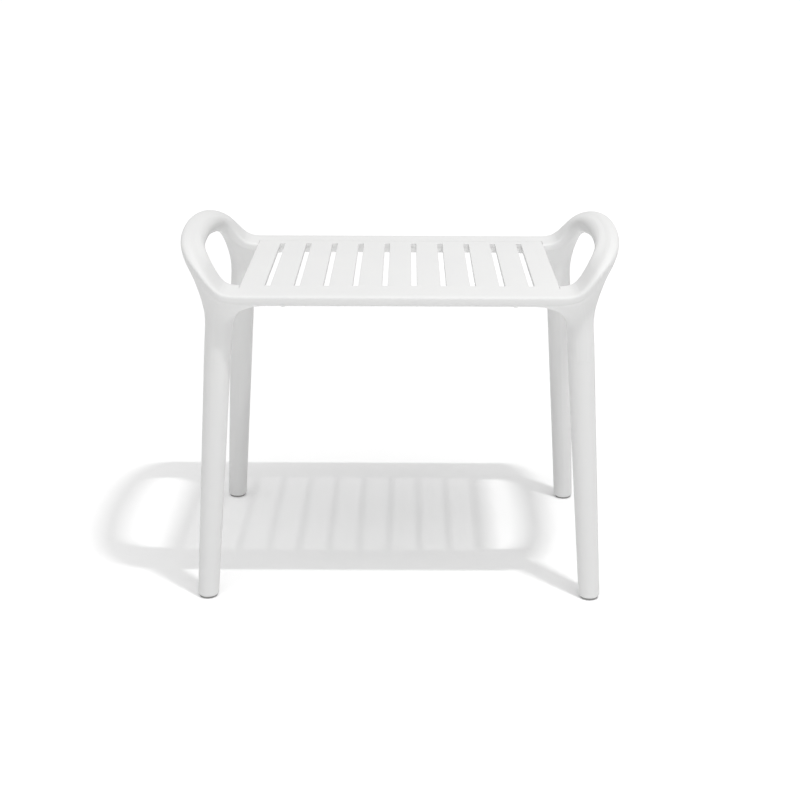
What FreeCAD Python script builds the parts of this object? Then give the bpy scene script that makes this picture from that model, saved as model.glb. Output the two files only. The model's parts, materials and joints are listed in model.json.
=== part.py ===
import FreeCAD, Part
import math
import os

from FreeCAD import Vector

# Shower stool: a ring-shaped frame whose front and rear rails rise at their ends into two
# handle loops, a drop-in slatted seat panel, and four splayed legs that plug into the frame.
# Millimetres. +Z is up, +X runs along the seat, the front is -Y.
# The origin is on the floor under the middle of the seat.

# ---- overall sizes
SEAT_HEIGHT = 420.0           # floor to the flat top of the seat
FRAME_DEPTH = 350.0           # front rail's front edge to rear rail's rear edge
LOOP_SPAN = 584.0             # across the outer edges of the two handle loops
HANDLE_RISE = 62.5            # handle loop's outer edge above the seat

# ---- rails
RAIL_DEPTH = 55.0             # front-to-rear width of a rail
RAIL_THICKNESS = 13.5         # top face to bottom face of a rail
INNER_EDGE_TRIM = 6.0         # rounded inner edge of a rail that the seat opening cuts off

# ---- handle loops
LOOP_START_X = 224.0          # where a loop's outer edge leaves the line of the rail
LOOP_INNER_START_X = 236.5    # where a loop's inner edge leaves the line of the rail
LOOP_BAND_WIDTH = 34.5        # width of the band in plan at the loop's end
LOOP_THICKNESS = 24.0         # thickness of the band at the loop's end
LOOP_CORNER_EXTRA = 8.0       # extra thickness of the band midway round its corner
LOOP_INNER_DROP = 10.0        # inner edge of the band below its outer edge at the loop's end
LOOP_UNDERCUT = 11.5          # how far the band's outer side leans in towards its underside
LOOP_OUTER_POWER = 2.45       # squareness of the outer plan curve (2 is an ellipse)
LOOP_INNER_POWER = 2.1        # squareness of the inner plan curve

RISE_START_X = 225.5          # where the band begins to climb from the rail
RISE_POWER = 0.7              # below 1 the climb is steep first and eases off
SECTION_CORNER_ANGLE = 60.0   # where the band's round edges have their cage points, from upright

# ---- seat panel
PANEL_LENGTH = 413.0          # along X
SLAT_THICKNESS = 5.0
SLOT_COUNT = 10
SLOT_MARGIN = 35.5            # panel's end to the centre line of the first slot
SLOT_WIDTH = 7.5
SLOT_CORNER_RADIUS = 1.2
PANEL_LIP = 14.0              # part of the panel that lies on each rail
LIP_THICKNESS = 8.0
PANEL_GAP = 0.1               # clearance round the panel in its rebate
RIB_WIDTH = 4.0               # stiffening rib under each slat
RIB_DEPTH = 9.0               # rib below the slat's underside
RIB_END_GAP = 0.5             # rib end to the rail's inner wall

# ---- legs
LEG_TOP_X = 229.8             # leg centre line at the seat's height
LEG_TOP_Y = 138.5
LEG_SPREAD_X = 28.5           # how far the foot stands out from there
LEG_SPREAD_Y = 33.0
LEG_TOP_DIAMETER = 36.4       # taper of the leg, as it would be at the seat's height
LEG_FOOT_DIAMETER = 28.0
LEG_SEAM_DROP = 92.0          # seat top down to the seam between frame and leg, along the leg
LEG_SEAM_GAP = 0.1
SPIGOT_LENGTH = 50.0
SPIGOT_DIAMETER = 25.0
SPIGOT_CLEARANCE = 0.1        # radial, spigot in socket
SPIGOT_CHAMFER = 1.5
SPIGOT_END_WALL = 6.0
LEG_BORE_DIAMETER = 19.0
LEG_BOTTOM_GAP = 2.0          # floor to the leg's lower edge
LEG_BOTTOM_ROUND = 4.0

# ---- flare where a leg grows into the frame
FLARE_RADIUS = 16.5           # leg's radius high in the flare
FLARE_HIGH_DROP = 30.5        # that section below the seat top
FLARE_LOW_DROP = 58.0         # where the flare has run out into the leg's taper
FLARE_TOE = 24.0              # how far the flare reaches back along the rail's underside
FLARE_TURN = 25.0             # turn of the cage rings round the leg, from +X towards +Y
STUB_TRIM = 35.0              # leg stub beyond the seam, cut away

# ---- rubber feet
FOOT_PAD_DIAMETER = 23.0
FOOT_STEM_LENGTH = 22.0
FOOT_STEM_CLEARANCE = 0.05    # radial, stem in the leg's bore

# ---- leg fixings
BOLT_DIAMETER = 6.0
BOLT_HEAD_DIAMETER = 10.0
BOLT_HEAD_HEIGHT = 6.0
BOLT_SOCKET_ACROSS = 5.0      # hexagon socket, across flats
BOLT_SOCKET_DEPTH = 3.0
BOLT_GRIP = 9.0               # thread engaged in the insert
BOLT_END_ROOM = 1.0           # beyond the bolt's tip in the insert
BOLT_HOLE_CLEARANCE = 0.3     # radial, in the spigot's end wall
WASHER_DIAMETER = 16.0
WASHER_THICKNESS = 1.6
INSERT_DIAMETER = 9.0
INSERT_LENGTH = 12.0
SMALL_FIT = 0.05              # radial, insert in frame, screw in its hole, stud in rail

# ---- seat screws
SCREW_ROW_X = (-110.0, 0.0, 110.0)
SCREW_DIAMETER = 4.0
SCREW_BITE = 6.0              # depth into the panel's lip
SCREW_HEAD_DIAMETER = 7.6
SCREW_HEAD_HEIGHT = 2.6
SCREW_HEAD_ROUND = 1.3
SCREW_HEAD_RECESS = 3.0
SCREW_RECESS_CLEARANCE = 0.4  # radial
SCREW_HOLE_CLEARANCE = 0.25   # radial, in the rail
SCREW_SLOT_LENGTH = 4.8       # cross recess, tip to tip
SCREW_SLOT_WIDTH = 1.0
SCREW_SLOT_DEPTH = 1.2

# ---- stacking studs under the rails
STUD_X = 148.0
STUD_INSET = 19.0             # rail's outer edge to the stud's centre
STUD_DIAMETER = 10.0
STUD_HEIGHT = 4.5
STUD_ROUND = 3.5              # rounding of the stud's end
STUD_STEM_DIAMETER = 5.0
STUD_STEM_LENGTH = 7.0

# ---- sizes that follow from those above
HALF_DEPTH = FRAME_DEPTH / 2
RAIL_INNER_Y = HALF_DEPTH - RAIL_DEPTH
RAIL_BOTTOM_Z = SEAT_HEIGHT - RAIL_THICKNESS
PANEL_HALF_LENGTH = PANEL_LENGTH / 2
PANEL_HALF_DEPTH = RAIL_INNER_Y + PANEL_LIP
LIP_BOTTOM_Z = SEAT_HEIGHT - LIP_THICKNESS
SCREW_ROW_Y = RAIL_INNER_Y + PANEL_LIP / 2
SLOT_PITCH = (PANEL_LENGTH - 2 * SLOT_MARGIN) / (SLOT_COUNT - 1)
TOOL_REACH = 60.0             # extra length that lets a cutting solid pass right through
SHORT_REACH = 15.0            # the same, where something else lies beyond
NEAR = 0.01                   # tolerance when an edge is found by its place
SPLINE_PASSES = 40            # passes that settle a spline's controls

LEG_TOP = Vector(LEG_TOP_X, LEG_TOP_Y, SEAT_HEIGHT)
LEG_FOOT = Vector(LEG_TOP_X + LEG_SPREAD_X, LEG_TOP_Y + LEG_SPREAD_Y, 0.0)
LEG_LENGTH = (LEG_FOOT - LEG_TOP).Length
LEG_DOWN = (LEG_FOOT - LEG_TOP).normalize()
LEG_ACROSS = (Vector(1, 0, 0) - LEG_DOWN * LEG_DOWN.x).normalize()
LEG_OUTWARD = LEG_ACROSS.cross(LEG_DOWN)

CORNERS = {
    "front_left": (-1, -1),
    "front_right": (1, -1),
    "rear_left": (-1, 1),
    "rear_right": (1, 1),
}


# ---------------------------------------------------------------- small helpers
def box_between(low, high):
    """Box between two opposite corners."""
    return Part.makeBox(high[0] - low[0], high[1] - low[1], high[2] - low[2], Vector(*low))


def mirrored(shape, side_x, side_y):
    """Copy of a shape drawn in the +X +Y corner, taken to another corner."""
    origin = Vector(0, 0, 0)
    result = shape.copy()
    if side_x < 0:
        result = result.mirror(origin, Vector(1, 0, 0))
    if side_y < 0:
        result = result.mirror(origin, Vector(0, 1, 0))
    return result


def leg_radius(drop):
    """Radius of the tapered leg at a distance below the seat top, measured along the leg."""
    share = drop / LEG_LENGTH
    return (LEG_TOP_DIAMETER + (LEG_FOOT_DIAMETER - LEG_TOP_DIAMETER) * share) / 2


def on_leg_axis(drop):
    """Point on the leg's centre line at a distance below the seat top."""
    return LEG_TOP + LEG_DOWN * drop


def along_leg(radius, drop_from, drop_to):
    """Cylinder on the leg's centre line between two distances below the seat top."""
    start = on_leg_axis(drop_from)
    return Part.makeCylinder(radius, drop_to - drop_from, start, LEG_DOWN)


# ---------------------------------------------------------------- smooth skin over a cage
def patch_inner_points(points, quads, around):
    """Interior control points of each quad's bicubic patch, one beside each of its corners."""
    inner = {}
    for index, quad in enumerate(quads):
        for corner in range(4):
            here = quad[corner]
            after = points[quad[(corner + 1) % 4]]
            across = points[quad[(corner + 2) % 4]]
            before = points[quad[(corner + 3) % 4]]
            valence = len(around[here])
            total = points[here] * valence + after * 2 + before * 2 + across
            inner[index, here] = total * (1.0 / (valence + 5))
    return inner


def average(vectors):
    """Mean of several vectors."""
    total = Vector(0, 0, 0)
    for vector in vectors:
        total = total + vector
    return total * (1.0 / len(vectors))


def skin_over_cage(points, quads):
    """Closed solid whose smooth skin of bicubic patches follows a cage of quads."""
    around = {}
    for index, quad in enumerate(quads):
        for name in quad:
            around.setdefault(name, []).append(index)
    inner = patch_inner_points(points, quads, around)
    corner_point = {name: average([inner[i, name] for i in used]) for name, used in around.items()}

    def beside(start, end):
        """Control point next to start on the edge towards end."""
        sharing = [i for i in around[start] if end in quads[i]]
        return average([inner[i, start] for i in sharing if is_edge(quads[i], start, end)])

    faces = []
    for index, (a, b, c, d) in enumerate(quads):
        rows = (
            (corner_point[a], beside(a, b), beside(b, a), corner_point[b]),
            (beside(a, d), inner[index, a], inner[index, b], beside(b, c)),
            (beside(d, a), inner[index, d], inner[index, c], beside(c, b)),
            (corner_point[d], beside(d, c), beside(c, d), corner_point[c]),
        )
        surface = Part.BezierSurface()
        surface.increase(3, 3)
        for row, row_points in enumerate(rows, start=1):
            for column, point in enumerate(row_points, start=1):
                surface.setPole(row, column, point)
        faces.append(surface.toShape())
    skin = Part.makeCompound(faces)
    skin.sewShape()
    solid = Part.Solid(skin.Shells[0])
    if solid.Volume < 0:
        solid.reverse()
    return solid


def is_edge(quad, start, end):
    """Whether two corners of a quad are neighbours on its outline."""
    step = abs(quad.index(start) - quad.index(end))
    return step in (1, 3)


def spline_controls(targets):
    """Controls of a closed uniform cubic spline that passes through the target points."""
    count = len(targets)
    controls = list(targets)
    for _ in range(SPLINE_PASSES):
        reached = [
            (controls[i - 1] + controls[i] * 4 + controls[(i + 1) % count]) * (1.0 / 6)
            for i in range(count)
        ]
        controls = [controls[i] + targets[i] - reached[i] for i in range(count)]
    return controls


# ---------------------------------------------------------------- handle frame
# Station 0 is the middle of a rail, the last one the end of a handle loop. A section has ten
# points: three on the top face from the inner edge out, two round the outer edge, three on
# the bottom face from the outer edge in, and two round the inner edge.
RAIL_STATIONS = (0.0, 75.0, 150.0, 205.0, 228.0)
LOOP_ANGLES = (72.0, 48.0, 24.0, 0.0)
LEG_STATION = len(RAIL_STATIONS) - 1      # station over the leg
LAST_STATION = len(RAIL_STATIONS) + len(LOOP_ANGLES) - 1
SECTION_POINTS = 10
BOTTOM_OUTER, BOTTOM_MIDDLE, BOTTOM_INNER = 5, 6, 7
INNER_EDGE_Y = RAIL_INNER_Y - INNER_EDGE_TRIM


def plan_curve(start_x, end_x, half_width, power, angle):
    """Point of a loop's plan curve: 90 degrees at the rail, 0 at the loop's end."""
    forward = math.cos(math.radians(angle)) ** (2 / power)
    sideways = math.sin(math.radians(angle)) ** (2 / power)
    return start_x + (end_x - start_x) * forward, half_width * sideways


def climb(x):
    """Share of the handle's rise reached at a distance from the middle of the seat."""
    run = (x - RISE_START_X) / (LOOP_SPAN / 2 - RISE_START_X)
    return max(run, 0.0)


def band_edges(station):
    """Inner and outer top edges of the band at a station, and its thickness there."""
    if station < len(RAIL_STATIONS):
        x = RAIL_STATIONS[station]
        inner = Vector(x, INNER_EDGE_Y, SEAT_HEIGHT)
        outer = Vector(x, HALF_DEPTH, SEAT_HEIGHT)
        return inner, outer, RAIL_THICKNESS
    angle = LOOP_ANGLES[station - len(RAIL_STATIONS)]
    end_x = LOOP_SPAN / 2
    x, y = plan_curve(LOOP_START_X, end_x, HALF_DEPTH, LOOP_OUTER_POWER, angle)
    outer = Vector(x, y, SEAT_HEIGHT + HANDLE_RISE * climb(x) ** RISE_POWER)
    inner_end_x = end_x - LOOP_BAND_WIDTH
    x, y = plan_curve(LOOP_INNER_START_X, inner_end_x, INNER_EDGE_Y, LOOP_INNER_POWER, angle)
    inner_rise = (HANDLE_RISE - LOOP_INNER_DROP) / climb(inner_end_x) ** RISE_POWER
    inner = Vector(x, y, SEAT_HEIGHT + inner_rise * climb(x) ** RISE_POWER)
    share = (station - LEG_STATION) / (LAST_STATION - LEG_STATION)
    thickness = RAIL_THICKNESS + (LOOP_THICKNESS - RAIL_THICKNESS) * share
    return inner, outer, thickness + LOOP_CORNER_EXTRA * math.sin(math.pi * share)


def band_middle(station):
    """Middle of the band's top at a station, with the quarters mirrored past its ends."""
    if station < 0:
        point = band_middle(-station)
        return Vector(-point.x, point.y, point.z)
    if station > LAST_STATION:
        point = band_middle(2 * LAST_STATION - station)
        return Vector(point.x, -point.y, point.z)
    inner, outer, _ = band_edges(station)
    return (inner + outer) * 0.5


def band_section(station):
    """Ten cage points round the band at a station of the +X +Y quarter."""
    inner, outer, thickness = band_edges(station)
    across = (outer - inner).normalize()
    path = (band_middle(station + 1) - band_middle(station - 1)).normalize()
    normal = across.cross(path).normalize()
    if normal.z < 0:
        normal = normal * -1.0
    radius = thickness / 2
    outer_centre = outer - across * radius - normal * radius
    inner_centre = inner + across * radius - normal * radius
    slope = math.radians(SECTION_CORNER_ANGLE)
    high = normal * (radius * math.cos(slope))
    wide = across * (radius * math.sin(slope))
    up = normal * radius
    middle = (outer_centre + inner_centre) * 0.5
    lean = across * (LOOP_UNDERCUT if station > LEG_STATION else 0.0)
    toe = path * (FLARE_TOE if station == LEG_STATION - 1 else 0.0)
    section = [
        inner_centre + up,
        middle + up,
        outer_centre + up,
        outer_centre + high + wide,
        outer_centre - high + wide - lean,
        outer_centre - up - lean - toe,
        middle - up - toe,
        inner_centre - up - toe,
        inner_centre - high - wide,
        inner_centre + high - wide,
    ]
    return spline_controls(section)


def ring_place(index):
    """Quarter station and corner signs of a station counted all round the frame."""
    quarter, rest = divmod(index % (4 * LAST_STATION), LAST_STATION)
    station = rest if quarter in (0, 2) else LAST_STATION - rest
    side_x = 1 if quarter in (0, 1) else -1
    side_y = 1 if quarter in (0, 3) else -1
    return station, side_x, side_y


def ring_index(station, side_x, side_y):
    """Station counted all round the frame for a quarter station in a corner."""
    if side_x > 0:
        return station if side_y > 0 else 2 * LAST_STATION - station
    index = 2 * LAST_STATION + station if side_y < 0 else 4 * LAST_STATION - station
    return index % (4 * LAST_STATION)


# Outline of the underside patch that a leg grows from, as (station offset, section point).
LEG_OUTLINE = (
    (1, BOTTOM_OUTER),
    (0, BOTTOM_OUTER),
    (-1, BOTTOM_OUTER),
    (-1, BOTTOM_MIDDLE),
    (-1, BOTTOM_INNER),
    (0, BOTTOM_INNER),
    (1, BOTTOM_INNER),
    (1, BOTTOM_MIDDLE),
)
LEG_END_DROP = LEG_SEAM_DROP + STUB_TRIM


def leg_rings():
    """Cage rings of the flare and the leg stub, as (distance below the seat top, radius)."""
    roundness = (4 + 2 * math.cos(math.radians(45.0))) / 6
    return (
        (FLARE_HIGH_DROP, FLARE_RADIUS / roundness),
        (FLARE_LOW_DROP, leg_radius(FLARE_LOW_DROP) / roundness),
        (LEG_SEAM_DROP, leg_radius(LEG_SEAM_DROP) / roundness),
        (LEG_END_DROP, leg_radius(LEG_END_DROP) / roundness),
    )


def leg_ring_point(drop, radius, angle):
    """Point of a cage ring round the leg, with its angle from +X towards +Y in degrees."""
    turn = math.radians(angle)
    return on_leg_axis(drop) + (LEG_ACROSS * math.cos(turn) + LEG_OUTWARD * math.sin(turn)) * radius


def frame_cage():
    """Named cage points and quads of the whole frame with its four leg stubs."""
    points = {}
    quads = []
    count = 4 * LAST_STATION
    for index in range(count):
        station, side_x, side_y = ring_place(index)
        for number, point in enumerate(band_section(station)):
            points["band", index, number] = Vector(point.x * side_x, point.y * side_y, point.z)
    for index in range(count):
        following = (index + 1) % count
        here = ring_place(index)[0]
        there = ring_place(following)[0]
        over_leg = LEG_STATION in (here, there)
        for number in range(SECTION_POINTS):
            if over_leg and number in (BOTTOM_OUTER, BOTTOM_MIDDLE):
                continue
            after = (number + 1) % SECTION_POINTS
            quads.append((
                ("band", index, number),
                ("band", following, number),
                ("band", following, after),
                ("band", index, after),
            ))
    for index in range(count):
        station = ring_place(index)[0]
        if station == LEG_STATION:
            del points["band", index, BOTTOM_MIDDLE]
    for name, signs in CORNERS.items():
        add_leg_stub(points, quads, name, signs)
    return points, quads


def add_leg_stub(points, quads, corner, signs):
    """Cage of one corner's flare and leg stub, grown from the band's underside."""
    side_x, side_y = signs
    levels = [[("band", ring_index(LEG_STATION + step, side_x, side_y), number)
               for step, number in LEG_OUTLINE]]
    sides = len(LEG_OUTLINE)
    for level, (drop, radius) in enumerate(leg_rings()):
        ring = []
        for number in range(sides):
            point = leg_ring_point(drop, radius, FLARE_TURN + 360.0 * number / sides)
            name = (corner, level, number)
            points[name] = Vector(point.x * side_x, point.y * side_y, point.z)
            ring.append(name)
        levels.append(ring)
    for upper, lower in zip(levels, levels[1:]):
        for number in range(sides):
            after = (number + 1) % sides
            quads.append(turned((upper[number], upper[after], lower[after], lower[number]), signs))
    tip = (corner, "end", 0)
    centre = on_leg_axis(LEG_END_DROP)
    points[tip] = Vector(centre.x * side_x, centre.y * side_y, centre.z)
    last = levels[-1]
    for number in range(0, sides, 2):
        quad = (tip, last[number], last[number + 1], last[(number + 2) % sides])
        quads.append(turned(quad, signs))


def turned(quad, signs):
    """Quad with its direction kept outward in a mirrored corner."""
    return quad if signs[0] * signs[1] > 0 else tuple(reversed(quad))


def make_handle_frame():
    """Frame with its rails, handle loops and leg sockets."""
    points, quads = frame_cage()
    frame = skin_over_cage(points, quads)
    opening = box_between(
        (-PANEL_HALF_LENGTH - PANEL_GAP, -RAIL_INNER_Y, RAIL_BOTTOM_Z - SHORT_REACH),
        (PANEL_HALF_LENGTH + PANEL_GAP, RAIL_INNER_Y, SEAT_HEIGHT + TOOL_REACH),
    )
    rebate = box_between(
        (-PANEL_HALF_LENGTH - PANEL_GAP, -PANEL_HALF_DEPTH - PANEL_GAP, LIP_BOTTOM_Z),
        (PANEL_HALF_LENGTH + PANEL_GAP, PANEL_HALF_DEPTH + PANEL_GAP, SEAT_HEIGHT + TOOL_REACH),
    )
    tools = [opening, rebate]
    for signs in CORNERS.values():
        tools.append(mirrored(leg_socket(), *signs))
        tools.append(mirrored(stud_hole(), *signs))
    for side_y in (-1, 1):
        for x in SCREW_ROW_X:
            tools.append(screw_hole(x, side_y))
    return frame.cut(tools)


def leg_socket():
    """Everything removed from the frame for one leg: below the seam, socket and insert hole."""
    below = along_leg(TOOL_REACH, LEG_SEAM_DROP, LEG_SEAM_DROP + TOOL_REACH)
    socket_top = LEG_SEAM_DROP - SPIGOT_LENGTH
    socket = along_leg(SPIGOT_DIAMETER / 2 + SPIGOT_CLEARANCE, socket_top, LEG_SEAM_DROP)
    insert_hole = along_leg(INSERT_DIAMETER / 2 + SMALL_FIT, socket_top - INSERT_LENGTH, socket_top)
    return below.fuse([socket, insert_hole])


def stud_hole():
    """Blind hole for a stacking stud's stem, with a flat face for the stud's shoulder."""
    start = Vector(STUD_X, HALF_DEPTH - STUD_INSET, RAIL_BOTTOM_Z - SHORT_REACH)
    stem_radius = STUD_STEM_DIAMETER / 2 + SMALL_FIT
    stem = Part.makeCylinder(stem_radius, SHORT_REACH + STUD_STEM_LENGTH, start)
    shoulder = Part.makeCylinder(STUD_DIAMETER / 2 + SMALL_FIT, SHORT_REACH, start)
    return stem.fuse(shoulder)


def screw_hole(x, side_y):
    """Clearance hole and head recess for one seat screw."""
    y = SCREW_ROW_Y * side_y
    hole_radius = SCREW_DIAMETER / 2 + SCREW_HOLE_CLEARANCE
    recess_radius = SCREW_HEAD_DIAMETER / 2 + SCREW_RECESS_CLEARANCE
    hole = Part.makeCylinder(hole_radius, RAIL_THICKNESS, Vector(x, y, RAIL_BOTTOM_Z))
    start = Vector(x, y, RAIL_BOTTOM_Z - SHORT_REACH)
    recess = Part.makeCylinder(recess_radius, SHORT_REACH + SCREW_HEAD_RECESS, start)
    return hole.fuse(recess)


# ---------------------------------------------------------------- seat panel
def slot_positions():
    """X of each slot's centre line."""
    first = SLOT_MARGIN - PANEL_HALF_LENGTH
    return [first + SLOT_PITCH * number for number in range(SLOT_COUNT)]


def slat_centres():
    """X of the middle of each slat, the two outer ones included."""
    edges = [-PANEL_HALF_LENGTH]
    for x in slot_positions():
        edges.append(x - SLOT_WIDTH / 2)
        edges.append(x + SLOT_WIDTH / 2)
    edges.append(PANEL_HALF_LENGTH)
    return [(edges[i] + edges[i + 1]) / 2 for i in range(0, len(edges), 2)]


def make_slot(x):
    """Solid that cuts one slot, with rounded corners."""
    slot = box_between(
        (x - SLOT_WIDTH / 2, -RAIL_INNER_Y, RAIL_BOTTOM_Z - TOOL_REACH),
        (x + SLOT_WIDTH / 2, RAIL_INNER_Y, SEAT_HEIGHT + TOOL_REACH),
    )
    height = slot.BoundBox.ZLength
    upright = [edge for edge in slot.Edges if edge.BoundBox.ZLength > height - NEAR]
    return slot.makeFillet(SLOT_CORNER_RADIUS, upright)


def make_seat_panel():
    """Slatted panel with a thick lip along each rail and a rib under each slat."""
    panel = box_between(
        (-PANEL_HALF_LENGTH, -RAIL_INNER_Y, SEAT_HEIGHT - SLAT_THICKNESS),
        (PANEL_HALF_LENGTH, RAIL_INNER_Y, SEAT_HEIGHT),
    )
    pieces = []
    for side_y in (-1, 1):
        near, far = sorted((RAIL_INNER_Y * side_y, PANEL_HALF_DEPTH * side_y))
        pieces.append(box_between(
            (-PANEL_HALF_LENGTH, near, LIP_BOTTOM_Z),
            (PANEL_HALF_LENGTH, far, SEAT_HEIGHT),
        ))
    rib_reach = RAIL_INNER_Y - RIB_END_GAP
    for x in slat_centres():
        pieces.append(box_between(
            (x - RIB_WIDTH / 2, -rib_reach, SEAT_HEIGHT - SLAT_THICKNESS - RIB_DEPTH),
            (x + RIB_WIDTH / 2, rib_reach, SEAT_HEIGHT - SLAT_THICKNESS),
        ))
    panel = panel.fuse(pieces).removeSplitter()
    tools = [make_slot(x) for x in slot_positions()]
    hole_radius = SCREW_DIAMETER / 2 + SMALL_FIT
    for side_y in (-1, 1):
        for x in SCREW_ROW_X:
            start = Vector(x, SCREW_ROW_Y * side_y, LIP_BOTTOM_Z)
            tools.append(Part.makeCylinder(hole_radius, SCREW_BITE + SMALL_FIT, start))
    return panel.cut(tools)


# ---------------------------------------------------------------- legs and feet
def ground_up_to(height):
    """Block that fills everything round a foot up to a height above the floor."""
    low = (LEG_FOOT.x - TOOL_REACH, LEG_FOOT.y - TOOL_REACH, -TOOL_REACH - SHORT_REACH)
    high = (LEG_FOOT.x + TOOL_REACH, LEG_FOOT.y + TOOL_REACH, height)
    return box_between(low, high)


def make_leg():
    """Hollow tapered leg of the +X +Y corner with its spigot."""
    seam = LEG_SEAM_DROP + LEG_SEAM_GAP
    beyond = LEG_LENGTH + TOOL_REACH
    cone_start = on_leg_axis(seam)
    body = Part.makeCone(leg_radius(seam), leg_radius(beyond), beyond - seam, cone_start, LEG_DOWN)
    body = body.cut(ground_up_to(LEG_BOTTOM_GAP))
    lower = [edge for edge in body.Edges if edge.BoundBox.ZMax < LEG_BOTTOM_GAP + NEAR]
    body = body.makeFillet(LEG_BOTTOM_ROUND, lower)
    top = LEG_SEAM_DROP - SPIGOT_LENGTH
    spigot = along_leg(SPIGOT_DIAMETER / 2, top, seam)
    tip = on_leg_axis(top)
    rim = [edge for edge in spigot.Edges if edge.BoundBox.Center.distanceToPoint(tip) < NEAR]
    spigot = spigot.makeChamfer(SPIGOT_CHAMFER, rim)
    leg = body.fuse(spigot)
    end_wall = top + SPIGOT_END_WALL
    bore = along_leg(LEG_BORE_DIAMETER / 2, end_wall, beyond)
    bolt_hole = along_leg(BOLT_DIAMETER / 2 + BOLT_HOLE_CLEARANCE, top - SHORT_REACH, end_wall)
    return leg.cut([bore, bolt_hole])


def make_foot():
    """Rubber foot: a pad on the floor and a stem pushed into the leg's bore."""
    bottom_drop = LEG_LENGTH * (1 - LEG_BOTTOM_GAP / SEAT_HEIGHT)
    centre = on_leg_axis(bottom_drop)
    pad = Part.makeCylinder(FOOT_PAD_DIAMETER / 2, LEG_BOTTOM_GAP, Vector(centre.x, centre.y, 0.0))
    stem_radius = LEG_BORE_DIAMETER / 2 - FOOT_STEM_CLEARANCE
    stem = along_leg(stem_radius, bottom_drop - FOOT_STEM_LENGTH, bottom_drop + SHORT_REACH)
    return pad.fuse(stem.cut(ground_up_to(LEG_BOTTOM_GAP / 2))).removeSplitter()


def make_leg_bolt():
    """Socket-head bolt that draws a leg's spigot up into the frame."""
    wall_bottom = LEG_SEAM_DROP - SPIGOT_LENGTH + SPIGOT_END_WALL
    head_top = wall_bottom + WASHER_THICKNESS
    head = along_leg(BOLT_HEAD_DIAMETER / 2, head_top, head_top + BOLT_HEAD_HEIGHT)
    shank = along_leg(BOLT_DIAMETER / 2, LEG_SEAM_DROP - SPIGOT_LENGTH - BOLT_GRIP, head_top)
    corner_radius = BOLT_SOCKET_ACROSS / math.sqrt(3.0)
    base = on_leg_axis(head_top + BOLT_HEAD_HEIGHT)
    outline = []
    for number in range(7):
        turn = math.tau * number / 6
        outward = LEG_ACROSS * math.cos(turn) + LEG_OUTWARD * math.sin(turn)
        outline.append(base + outward * corner_radius)
    socket = Part.Face(Part.makePolygon(outline)).extrude(LEG_DOWN * -BOLT_SOCKET_DEPTH)
    return head.fuse(shank).cut(socket)


def make_washer():
    """Flat washer under the leg bolt's head."""
    wall_bottom = LEG_SEAM_DROP - SPIGOT_LENGTH + SPIGOT_END_WALL
    head_top = wall_bottom + WASHER_THICKNESS
    disc = along_leg(WASHER_DIAMETER / 2, wall_bottom, head_top)
    return disc.cut(along_leg(BOLT_DIAMETER / 2 + BOLT_HOLE_CLEARANCE, wall_bottom, head_top))


def make_insert():
    """Threaded brass insert moulded into the frame above a leg's socket."""
    socket_top = LEG_SEAM_DROP - SPIGOT_LENGTH
    body = along_leg(INSERT_DIAMETER / 2, socket_top - INSERT_LENGTH, socket_top)
    thread_end = socket_top - BOLT_GRIP - BOLT_END_ROOM
    thread = along_leg(BOLT_DIAMETER / 2 + SMALL_FIT, thread_end, socket_top)
    return body.cut(thread)


def make_stud():
    """Domed stacking stud that plugs into a rail's underside."""
    centre = Vector(STUD_X, HALF_DEPTH - STUD_INSET, RAIL_BOTTOM_Z)
    radius = STUD_DIAMETER / 2
    stem = Part.makeCylinder(STUD_STEM_DIAMETER / 2, STUD_STEM_LENGTH, centre)
    body = Part.makeCylinder(radius, STUD_HEIGHT, centre, Vector(0, 0, -1))
    tip = [edge for edge in body.Edges if edge.BoundBox.ZMax < RAIL_BOTTOM_Z - STUD_HEIGHT + NEAR]
    body = body.makeFillet(STUD_ROUND, tip)
    return body.fuse(stem)


def make_seat_screw(x, side_y):
    """Pan-head screw that holds the seat panel down from under a rail."""
    y = SCREW_ROW_Y * side_y
    seat = Vector(x, y, RAIL_BOTTOM_Z + SCREW_HEAD_RECESS)
    low_z = seat.z - SCREW_HEAD_HEIGHT
    down = Vector(0, 0, -1)
    head = Part.makeCylinder(SCREW_HEAD_DIAMETER / 2, SCREW_HEAD_HEIGHT, seat, down)
    low = [edge for edge in head.Edges if edge.BoundBox.ZMax < low_z + NEAR]
    head = head.makeFillet(SCREW_HEAD_ROUND, low)
    shank_length = LIP_BOTTOM_Z + SCREW_BITE - seat.z
    screw = head.fuse(Part.makeCylinder(SCREW_DIAMETER / 2, shank_length, seat))
    long_half = SCREW_SLOT_LENGTH / 2
    short_half = SCREW_SLOT_WIDTH / 2
    cross = []
    for half_x, half_y in ((long_half, short_half), (short_half, long_half)):
        cross.append(box_between(
            (x - half_x, y - half_y, low_z - SHORT_REACH),
            (x + half_x, y + half_y, low_z + SCREW_SLOT_DEPTH),
        ))
    return screw.cut(cross)


# ---------------------------------------------------------------- all pieces
def make_all():
    """Every piece of the stool by name."""
    pieces = {
        "handle_frame": make_handle_frame(),
        "seat_panel": make_seat_panel(),
    }
    makers = {
        "leg": make_leg,
        "foot": make_foot,
        "leg_bolt": make_leg_bolt,
        "leg_washer": make_washer,
        "leg_insert": make_insert,
        "stacking_stud": make_stud,
    }
    for kind, maker in makers.items():
        shape = maker()
        for corner, signs in CORNERS.items():
            pieces[corner + "_" + kind] = mirrored(shape, *signs)
    for row, side_y in (("front", -1), ("rear", 1)):
        for place, x in zip(("left", "middle", "right"), SCREW_ROW_X):
            pieces[row + "_" + place + "_seat_screw"] = make_seat_screw(x, side_y)
    return pieces


def main():
    """Write one STEP file for each piece."""
    os.makedirs("parts", exist_ok=True)
    for name, shape in make_all().items():
        shape.exportStep("parts/" + name + ".step")
        volume = round(shape.Volume)
        print(name, "solids", len(shape.Solids), "volume", volume, "valid", shape.isValid())


main()
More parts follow.
